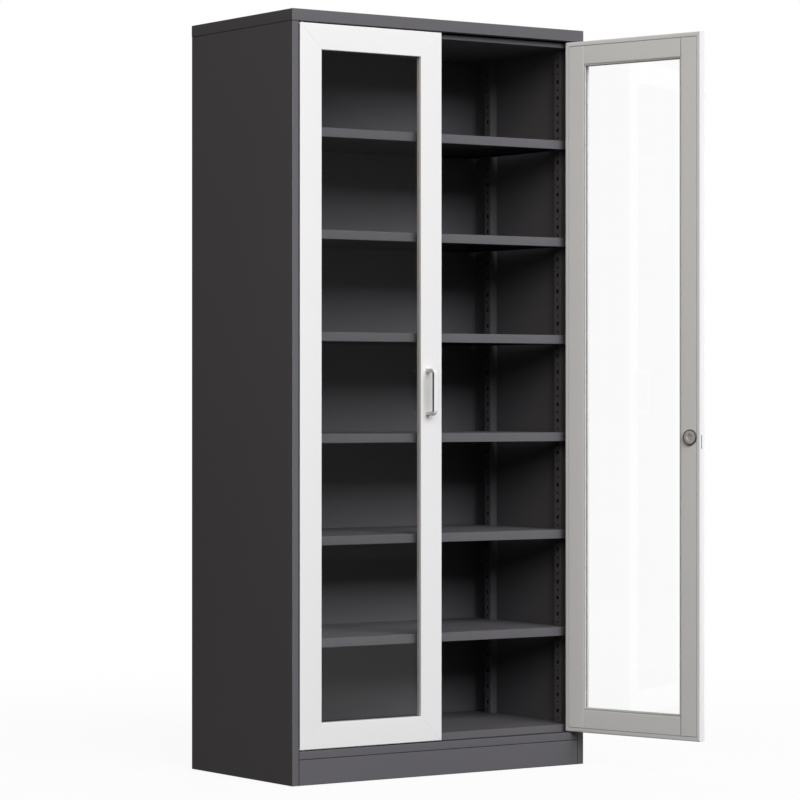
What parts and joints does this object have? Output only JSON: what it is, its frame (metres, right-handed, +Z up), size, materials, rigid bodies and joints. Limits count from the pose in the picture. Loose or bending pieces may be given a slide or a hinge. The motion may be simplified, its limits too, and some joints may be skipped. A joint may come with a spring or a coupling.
{
  "type": "glass-door steel cabinet",
  "caption": "Tall folded-steel document cabinet with framed glass doors on pivot pins, hook-on shelves in slotted uprights, bow handles, a cam lock and a slide bolt.",
  "frame": {"origin": "on the floor, in the middle of the plinth's foot flange at the front of the cabinet", "axes": "+Z up; the doors face -Y; +X to the right of a person facing the doors"},
  "size_m": [0.9512, 0.8266, 1.8],
  "materials": {
    "charcoal_coat": "charcoal powder coat, fine orange peel, satin",
    "white_coat": "white powder coat, fine orange peel, satin",
    "clear_glass": "clear float glass, faintly green at the edges",
    "gasket_rubber": "matt grey rubber",
    "grip_plastic": "dark matt plastic",
    "satin_nickel": "satin nickel plate",
    "zinc_plate": "bright zinc plate",
    "nylon": "natural nylon"
  },
  "bodies": {
    "cabinet": {"left_side_panel": "charcoal_coat", "right_side_panel": "charcoal_coat", "back_panel": "charcoal_coat", "top_cap": "charcoal_coat", "top_liner": "charcoal_coat", "floor_panel": "charcoal_coat", "sill_rail": "charcoal_coat", "plinth": "charcoal_coat", "left_front_upright": "charcoal_coat", "left_rear_upright": "charcoal_coat", "right_front_upright": "charcoal_coat", "right_rear_upright": "charcoal_coat", "shelf_1": "charcoal_coat", "shelf_2": "charcoal_coat", "shelf_3": "charcoal_coat", "shelf_4": "charcoal_coat", "shelf_5": "charcoal_coat", "shelf_6": "charcoal_coat", "left_top_pivot_bush": "nylon", "left_bottom_pivot_bush": "nylon", "right_top_pivot_bush": "nylon", "right_bottom_pivot_bush": "nylon"},
    "left_door": {"left_door_hinge_stile": "white_coat", "left_door_free_stile": "white_coat", "left_door_top_rail": "white_coat", "left_door_bottom_rail": "white_coat", "left_door_inner_hinge_stile": "white_coat", "left_door_inner_free_stile": "white_coat", "left_door_inner_top_rail": "white_coat", "left_door_inner_bottom_rail": "white_coat", "left_door_glass": "clear_glass", "left_door_gasket": "gasket_rubber", "left_door_handle": "white_coat", "left_door_grip_liner": "grip_plastic", "left_door_top_pivot_pin": "zinc_plate", "left_door_bottom_pivot_pin": "zinc_plate", "bolt_guide": "zinc_plate"},
    "right_door": {"right_door_hinge_stile": "white_coat", "right_door_free_stile": "white_coat", "right_door_top_rail": "white_coat", "right_door_bottom_rail": "white_coat", "right_door_inner_hinge_stile": "white_coat", "right_door_inner_free_stile": "white_coat", "right_door_inner_top_rail": "white_coat", "right_door_inner_bottom_rail": "white_coat", "right_door_glass": "clear_glass", "right_door_gasket": "gasket_rubber", "right_door_handle": "white_coat", "right_door_grip_liner": "grip_plastic", "right_door_top_pivot_pin": "zinc_plate", "right_door_bottom_pivot_pin": "zinc_plate", "lock_barrel": "satin_nickel", "lock_rose": "satin_nickel"},
    "lock": {"lock_plug": "satin_nickel", "lock_cam": "zinc_plate"},
    "left_bolt": {"door_bolt": "zinc_plate"}
  },
  "joints": [
    {"name": "left_door_swing", "type": "hinge", "parent": "cabinet", "child": "left_door", "pos_m": [-0.394, -0.006, 0.0815], "axis": [0, 0, -1], "range_deg": [0, 115]},
    {"name": "right_door_swing", "type": "hinge", "parent": "cabinet", "child": "right_door", "pos_m": [0.394, -0.006, 0.0815], "axis": [0, 0, 1], "range_deg": [-105, 10]},
    {"name": "lock_turn", "type": "hinge", "parent": "right_door", "child": "lock", "pos_m": [0.49452, -0.35798, 0.805], "axis": [-0.9659, -0.2588, 0], "range_deg": [0, 90]},
    {"name": "bolt_slide", "type": "slide", "parent": "left_door", "child": "left_bolt", "axis": [0, 0, 1], "range_m": [0, 0.012]}
  ]
}
